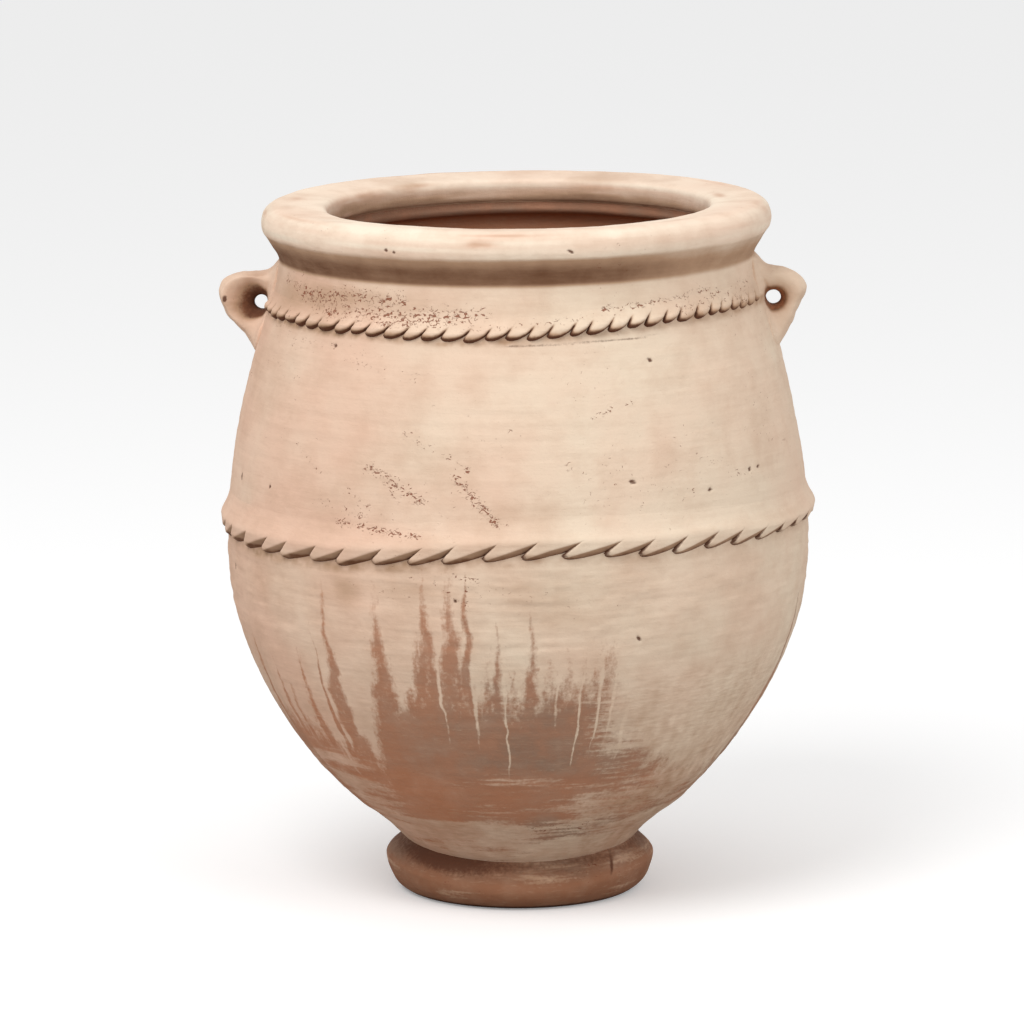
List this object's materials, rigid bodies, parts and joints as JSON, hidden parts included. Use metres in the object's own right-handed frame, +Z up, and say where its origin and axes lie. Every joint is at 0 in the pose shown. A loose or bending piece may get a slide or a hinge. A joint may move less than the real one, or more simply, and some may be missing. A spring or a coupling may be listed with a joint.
{
  "type": "storage jar",
  "caption": "Large wide-mouthed clay jar with a rolled rim, short neck, pierced shoulder lugs, applied rope bands and a small flared foot.",
  "frame": {"origin": "centre of the foot ring's underside, on the ground", "axes": "+Z up along the jar's axis; the two lugs lie on the X axis, the right one on +X; the front is -Y"},
  "size_m": [0.5908, 0.5908, 0.69],
  "materials": {
    "wall_clay": "matt, lime-washed terracotta with drips and pits",
    "rim_clay": "matt, smoothed pale terracotta",
    "band_clay": "matt, pale terracotta, darker in the slashes",
    "lug_clay": "matt, pale terracotta",
    "foot_clay": "matt, bare red-brown terracotta",
    "inner_clay": "matt, bare red-brown terracotta"
  },
  "bodies": {
    "root": {"foot_ring": "foot_clay", "base_floor": "inner_clay", "bowl_wall": "wall_clay", "belly_wall": "wall_clay", "upper_wall": "wall_clay", "neck_collar": "wall_clay", "rim_roll": "rim_clay", "lower_rope_band": "band_clay", "upper_rope_band_front": "band_clay", "upper_rope_band_back": "band_clay", "left_lug_handle": "lug_clay", "right_lug_handle": "lug_clay"}
  },
  "joints": []
}
